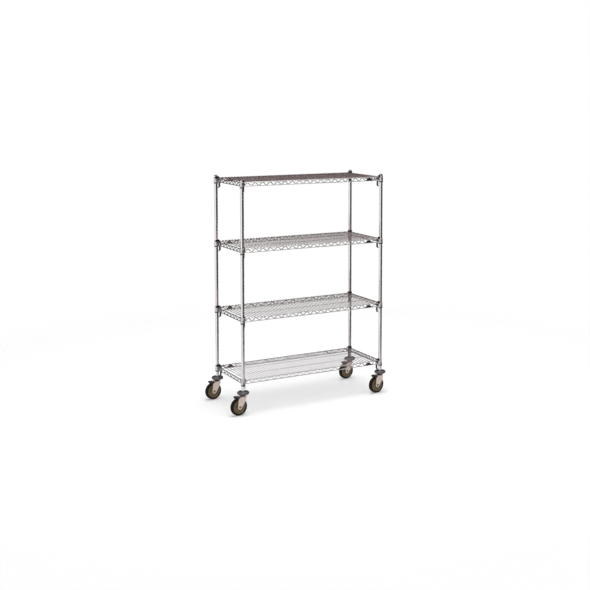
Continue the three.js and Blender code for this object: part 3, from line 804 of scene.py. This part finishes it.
def fork_mesh():
    """Two legs joined by a crown plate, a pressed rib and an axle boss on each leg, and the brake's pin."""
    solid = Solid()
    eye = arc((TRAIL, WHEEL_RADIUS), LEG_EYE, 200, 352, 14)
    leg = [*eye, (53.4, 80), (51.2, 100), (49.6, 116), (49.8, 121), *arc((51.6, 132.4), 5.4, -60, 84, 8),
           (30, CROWN_HIGH), *arc((-9, 131), 7, 92, 178, 6), (-14.6, 122), (-11, 109), (-3, 95), (9, 78)]
    for side in (-1, 1):
        solid.prism(leg, *sorted((side * LEG_INNER, side * LEG_OUTER)), 0.9, 3)
        rib = rounded([(30, 80), (44.5, 80), (42, 120), (8, 120)], 7, 5)
        solid.prism(rib, *sorted((side * (LEG_OUTER - 0.4), side * (LEG_OUTER + 1.0))), 0.7, 3)
        boss = Matrix.Translation((TRAIL, side * (LEG_OUTER - 0.4), WHEEL_RADIUS)) @ Matrix.Rotation(
            -side * math.pi / 2, 4, "X")
        solid.lathe([(5.4, 0), (11, 0), (10.4, 0.75), (5.4, 0.75)], 32, boss)
    crown = rounded([(-14.6, -LEG_OUTER), (30, -LEG_OUTER), (30, LEG_OUTER), (-14.6, LEG_OUTER)], 7, 5)
    lying = Matrix.Rotation(math.pi / 2, 4, "X")
    solid.prism(crown, CROWN_LOW, CROWN_HIGH, 1.6, 3, lying)
    pin = Matrix.Translation((PEDAL_BACK, -LEG_OUTER - 0.9, PEDAL_Z)) @ Matrix.Rotation(
        -math.pi / 2, 4, "X")
    length = 2 * (LEG_OUTER + 0.9)
    solid.spindle([(0, 0), (2.9, 0), (3.4, 0.6), (3.4, 1.4), (2.1, 1.4), (2.1, length - 1.4),
                   (3.4, length - 1.4), (3.4, length - 0.6), (2.9, length), (0, length)], 20, pin)
    return solid.mesh("fork", 40)


def hexagon(radius):
    return [(radius * math.cos(math.radians(60 * i)), radius * math.sin(math.radians(60 * i)))
            for i in range(6)]


def axle_bolt_mesh():
    """Hex-headed bolt through both legs, with a washer under its head; the head faces -Y."""
    face = LEG_OUTER + 0.45
    along = Matrix.Translation((TRAIL, 0, WHEEL_RADIUS))
    solid = Solid()
    shank = along @ Matrix.Rotation(math.pi / 2, 4, "X")
    solid.spindle([(0, -face - 8), (4.0, -face - 8), (4.6, -face - 7.2), (4.6, face + 1), (0, face + 1)],
                  24, shank)
    solid.lathe([(4.7, face), (9.4, face), (9.6, face + 0.3), (9.4, face + 1.2), (4.7, face + 1.2)],
                36, shank)
    solid.prism(hexagon(7.6), -face - 5.6, -face - 1.2, 0.5, 2, along)
    return solid.mesh("axle_bolt", 35)


def axle_nut_mesh():
    """Lock nut with its washer, on the bolt's threaded end."""
    face = LEG_OUTER + 0.45
    along = Matrix.Translation((TRAIL, 0, WHEEL_RADIUS))
    solid = Solid()
    shank = along @ Matrix.Rotation(-math.pi / 2, 4, "X")
    solid.lathe([(4.8, face), (9.4, face), (9.6, face + 0.3), (9.4, face + 1.2), (4.8, face + 1.2)],
                36, shank)
    ring = [(r, z) for r, z in ((4.8, face + 1.2), (7.4, face + 1.2), (7.8, face + 2), (7.8, face + 5),
                                (6.6, face + 6.0), (5.4, face + 6.4), (4.8, face + 6.2))]
    solid.lathe(ring, 6, shank)
    return solid.mesh("axle_nut", 20)


def wheel_hub_mesh():
    """Moulded core: bearing boss, dished web with a raised bead, and the rim that carries the tread."""
    side = [(5.4, 17.9), (11.6, 17.9), (13, 17.1), (13.8, 12.5), (16, 10.2), (24, 8.6), (25.2, 9.4),
            (27, 9.4), (28.2, 8.5), (38, 8.8), (42, 10.6), (44.4, 13.4), (46.4, 14.4), (49.4, 14.2),
            (CORE_RADIUS, 13.2)]
    profile = [(r, -z) for r, z in side] + [(r, z) for r, z in reversed(side)]
    return Solid().lathe(profile, 72).mesh("wheel_hub", 40)


def tyre_mesh():
    """Resilient tread with rounded shoulders and a fine parting line round its middle."""
    side = [(CORE_RADIUS + 0.2, 13.4), (51.2, 14.9), (53, 15.7), (57, WHEEL_HALF), (60.2, 15.5),
            (62.2, 13.8), (63.2, 11.2), (WHEEL_RADIUS, 8.5), (WHEEL_RADIUS, 0.5), (WHEEL_RADIUS - 0.3, 0)]
    profile = [(r, -z) for r, z in side] + [(r, z) for r, z in reversed(side[:-1])]
    return Solid().lathe(profile, 96).mesh("tyre", 35)


def pedal_mesh():
    """Toe brake: an eye on the fork's pin, a shoe above the tread, a ribbed foot plate and two cheeks."""
    eye = arc((0, 0), 5, 100, 290, 14)
    outline = [*eye, (4.4, -4.6), (7.4, -4.9), (11, -6.4), (12.8, -3), (14.0, 4), (15.0, 11.2),
               (12.8, 12.4), (10.2, 7.4), (6.6, 4.8)]
    solid = Solid()
    solid.prism(outline, -8.8, 8.8, 0.8, 3)
    cheek = rounded([(-19, 2.6), (-5, -1), (-3.4, -9), (4, -14), (11, -9), (15, -1), (15.6, 7.6),
                     (6, 7), (-19, 7)], 2, 4)
    for side in (-1, 1):
        solid.prism(cheek, *sorted((side * (LEG_OUTER + 1.2), side * (LEG_OUTER + 3.4))), 0.6, 3)
    slope = Vector((15.0 - 12.8, 11.2 + 3.0)).normalized()
    for i in range(4):
        centre = Vector((13.2, -1.0)) + slope * (2.6 * i + 1.0)
        place = Matrix.Translation((centre.x, 0, centre.y))
        solid.block((-0.4, -7.4, -0.55), (0.7, 7.4, 0.55), 0.25, 1, place)
    return solid.mesh("brake_pedal", 40)


def build_casters():
    meshes = {
        "stem": stem_mesh(), "bumper": bumper_mesh(), "raceway": raceway_mesh(), "fork": fork_mesh(),
        "bolt": axle_bolt_mesh(), "nut": axle_nut_mesh(), "hub": wheel_hub_mesh(), "tyre": tyre_mesh(),
        "pedal": pedal_mesh(),
    }
    turn = caster_matrix(CORNERS[0])
    turn.translation = (0, 0, 0)
    across = Matrix.Rotation(-math.pi / 2, 4, "X")
    for name, mesh in meshes.items():
        mesh.transform(turn @ across if name in ("hub", "tyre") else turn)
    for corner in CORNERS:
        fork, wheel, brake = f"fork_{corner}", f"wheel_{corner}", f"brake_{corner}"
        base = Matrix.Translation((*post_xy[corner], 0))
        axle = Matrix.Translation(joint_at[f"wheel_{corner}_spin"])
        pivot = Matrix.Translation(joint_at[f"brake_{corner}_press"])
        for name, mesh, material, matrix, body, slot, node in (
            ("stem_and_kingpin", "stem", "bolt", base, "root", "zinc_steel", "caster_stem"),
            ("donut_bumper", "bumper", "bumper", base, "root", "bumper_rubber", "caster_bumper"),
            ("swivel_raceway", "raceway", "raceway", base, fork, "zinc_steel", "caster_fork"),
            ("fork_yoke", "fork", "zinc", base, fork, "zinc_steel", "caster_fork"),
            ("axle_hex_bolt", "bolt", "bolt", base, fork, "bolt_steel", "axle_bolt"),
            ("axle_lock_nut", "nut", "bolt", base, fork, "bolt_steel", "axle_nut"),
            ("wheel_core", "hub", "core", axle, wheel, "core_plastic", "wheel_hub"),
            ("wheel_tread", "tyre", "tyre", axle, wheel, "tyre_rubber", "tyre"),
            ("toe_brake", "pedal", "black", pivot, brake, "lever_black", "brake_pedal"),
        ):
            place_piece(f"{name}_{corner}", meshes[mesh], MATERIALS[material], matrix, body,
                        [f"{node}_{corner}"])


# ---- stage ----------------------------------------------------------------------------------------

CAMERA_FROM_RACK = Vector((-3.6611, -7.2072, 2.3327))
CAMERA_YAW = 0.5554
CAMERA_PITCH = -0.0859
CAMERA_ROLL = 0.006
CAMERA_LENS = 64.35
SENSOR = 36.0
SHIFT = (-0.16, -0.185)


def build_camera():
    data = bpy.data.cameras.new("camera")
    data.sensor_width = SENSOR
    data.lens = CAMERA_LENS
    data.shift_x, data.shift_y = SHIFT
    data.clip_end = 100
    camera = bpy.data.objects.new("camera", data)
    scene.collection.objects.link(camera)
    ahead = Vector((math.sin(CAMERA_YAW) * math.cos(CAMERA_PITCH),
                    math.cos(CAMERA_YAW) * math.cos(CAMERA_PITCH), math.sin(CAMERA_PITCH)))
    level = Vector((math.cos(CAMERA_YAW), -math.sin(CAMERA_YAW), 0))
    over = level.cross(ahead)
    right = level * math.cos(CAMERA_ROLL) + over * math.sin(CAMERA_ROLL)
    up = over * math.cos(CAMERA_ROLL) - level * math.sin(CAMERA_ROLL)
    turn = Matrix((right, up, -ahead)).transposed().to_4x4()
    place = Vector((rack_centre.x, rack_centre.y, 0)) + CAMERA_FROM_RACK
    camera.matrix_world = Matrix.Translation(place) @ turn
    scene.camera = camera


FLOOR_RADIUS = 4.2
FLOOR_SIDES = 96
FLOOR_Z = -0.0004
FLOOR_COLOUR = (0.90, 0.90, 0.905, 1)
FLOOR_GLOW = (0.19, 0.19, 0.195, 1)
FLOOR_FADE = (1.6, 4.0)


def build_floor():
    """A pale round floor that fades out into the white surround; reflections see the room's own floor."""
    data = bpy.data.meshes.new("floor")
    ring = [(FLOOR_RADIUS * math.cos(a), FLOOR_RADIUS * math.sin(a), 0)
            for a in (2 * math.pi * i / FLOOR_SIDES for i in range(FLOOR_SIDES))]
    data.from_pydata(ring, [], [tuple(range(FLOOR_SIDES))])
    floor = bpy.data.objects.new("floor", data)
    scene.collection.objects.link(floor)
    floor.location = (rack_centre.x, rack_centre.y, FLOOR_Z)
    material = bpy.data.materials.new("floor_paper")
    material.use_nodes = True
    tree = material.node_tree
    tree.nodes.clear()
    output = tree.nodes.new("ShaderNodeOutputMaterial")
    diffuse = tree.nodes.new("ShaderNodeBsdfDiffuse")
    diffuse.inputs["Color"].default_value = FLOOR_COLOUR
    glow = tree.nodes.new("ShaderNodeEmission")
    glow.inputs["Color"].default_value = FLOOR_GLOW
    paper = tree.nodes.new("ShaderNodeAddShader")
    tree.links.new(diffuse.outputs["BSDF"], paper.inputs[0])
    tree.links.new(glow.outputs["Emission"], paper.inputs[1])
    clear = tree.nodes.new("ShaderNodeBsdfTransparent")
    mix = tree.nodes.new("ShaderNodeMixShader")
    ray = tree.nodes.new("ShaderNodeLightPath")
    hidden = tree.nodes.new("ShaderNodeMath")
    hidden.operation = "MAXIMUM"
    coordinates = tree.nodes.new("ShaderNodeTexCoord")
    length = tree.nodes.new("ShaderNodeVectorMath")
    length.operation = "LENGTH"
    fade = tree.nodes.new("ShaderNodeMapRange")
    fade.interpolation_type = "SMOOTHSTEP"
    fade.inputs["From Min"].default_value, fade.inputs["From Max"].default_value = FLOOR_FADE
    tree.links.new(coordinates.outputs["Object"], length.inputs[0])
    tree.links.new(length.outputs["Value"], fade.inputs["Value"])
    tree.links.new(fade.outputs["Result"], hidden.inputs[0])
    tree.links.new(ray.outputs["Is Glossy Ray"], hidden.inputs[1])
    tree.links.new(hidden.outputs[0], mix.inputs["Fac"])
    tree.links.new(paper.outputs["Shader"], mix.inputs[1])
    tree.links.new(clear.outputs["BSDF"], mix.inputs[2])
    tree.links.new(mix.outputs["Shader"], output.inputs["Surface"])
    data.materials.append(material)


LEFT_SOFTBOX = math.radians(178.5)
FRONT_SOFTBOX = Vector((0, -0.5, 0.866))
AMBIENT = (0.56, 0.56, 0.565, 1)
DARK_ROOM = (0.050, 0.040, 0.040, 1)
SOFTBOX = (1.0, 1.0, 1.0, 1)
CEILING = (0.62, 0.62, 0.63, 1)
FLOOR_BEYOND = (0.85, 0.85, 0.855, 1)
LEFT_EDGE = (0.51, 0.57)
CEILING_EDGE = (0.45, 0.75)
FRONT_EDGE = (0.48, 0.62)
RIGHT_EDGE = (0.43, 0.50)
RIGHT_STRENGTH = 0.25
FLOOR_EDGE = (0.238, 0.265)


def build_world():
    """An even white surround; in reflections, a dark room with softboxes at left and above the front."""
    world = bpy.data.worlds.new("studio")
    scene.world = world
    world.use_nodes = True
    tree = world.node_tree
    tree.nodes.clear()

    def node(kind, **settings):
        made = tree.nodes.new(kind)
        for key, value in settings.items():
            setattr(made, key, value)
        return made

    def edge(source, start, end):
        made = node("ShaderNodeMapRange", interpolation_type="SMOOTHSTEP")
        made.inputs["From Min"].default_value = start
        made.inputs["From Max"].default_value = end
        tree.links.new(source, made.inputs["Value"])
        return made.outputs["Result"]

    def mix(factor, first, second):
        made = node("ShaderNodeMix", data_type="RGBA")
        tree.links.new(factor, made.inputs["Factor"])
        for socket, value in ((made.inputs[6], first), (made.inputs[7], second)):
            if isinstance(value, tuple):
                socket.default_value = value
            else:
                tree.links.new(value, socket)
        return made.outputs[2]

    direction = node("ShaderNodeTexCoord").outputs["Generated"]
    flat = node("ShaderNodeVectorMath", operation="MULTIPLY")
    flat.inputs[1].default_value = (1, 1, 0)
    tree.links.new(direction, flat.inputs[0])
    level = node("ShaderNodeVectorMath", operation="NORMALIZE")
    tree.links.new(flat.outputs["Vector"], level.inputs[0])

    def along(source, axis):
        made = node("ShaderNodeVectorMath", operation="DOT_PRODUCT")
        made.inputs[1].default_value = axis
        tree.links.new(source, made.inputs[0])
        return made.outputs["Value"]

    split = node("ShaderNodeSeparateXYZ")
    tree.links.new(direction, split.inputs[0])
    left = (math.cos(LEFT_SOFTBOX), math.sin(LEFT_SOFTBOX), 0)
    beside = edge(along(level.outputs["Vector"], left), *LEFT_EDGE)
    above = edge(split.outputs["Z"], *CEILING_EDGE)
    room = mix(above, mix(beside, DARK_ROOM, SOFTBOX), CEILING)
    lean = edge(along(direction, FRONT_SOFTBOX), *FRONT_EDGE)
    not_right = node("ShaderNodeMapRange", interpolation_type="SMOOTHSTEP")
    for socket, value in (("From Min", RIGHT_EDGE[0]), ("From Max", RIGHT_EDGE[1]),
                          ("To Min", 1.0), ("To Max", RIGHT_STRENGTH)):
        not_right.inputs[socket].default_value = value
    tree.links.new(split.outputs["X"], not_right.inputs["Value"])
    in_front = node("ShaderNodeMath", operation="MULTIPLY")
    tree.links.new(lean, in_front.inputs[0])
    tree.links.new(not_right.outputs["Result"], in_front.inputs[1])
    room = mix(in_front.outputs[0], room, SOFTBOX)
    below = edge(along(direction, (0, 0, -1)), *FLOOR_EDGE)
    room = mix(below, room, FLOOR_BEYOND)
    ray = node("ShaderNodeLightPath")
    lit = mix(ray.outputs["Is Glossy Ray"], AMBIENT, room)
    seen = mix(ray.outputs["Is Camera Ray"], lit, (1, 1, 1, 1))
    background = node("ShaderNodeBackground")
    tree.links.new(seen, background.inputs["Color"])
    output = node("ShaderNodeOutputWorld")
    tree.links.new(background.outputs["Background"], output.inputs["Surface"])


OVERHEAD_PLACE = (0.1, -0.25, 5.2)
OVERHEAD_SIZE = (3.0, 2.4)
OVERHEAD_WATTS = 158
AIM_HEIGHT = 0.7


def area_light(name, place, size, energy):
    data = bpy.data.lights.new(name, "AREA")
    data.shape = "RECTANGLE"
    data.size, data.size_y = size
    data.energy = energy
    light = bpy.data.objects.new(name, data)
    scene.collection.objects.link(light)
    centre = Vector((rack_centre.x, rack_centre.y, 0))
    light.location = centre + Vector(place)
    aim = centre + Vector((0, 0, AIM_HEIGHT)) - light.location
    light.rotation_euler = aim.to_track_quat("-Z", "Y").to_euler()


build_uprights()
build_shelves()
build_casters()
build_camera()
build_floor()
build_world()
area_light("overhead", OVERHEAD_PLACE, OVERHEAD_SIZE, OVERHEAD_WATTS)
scene.view_settings.view_transform = "Standard"
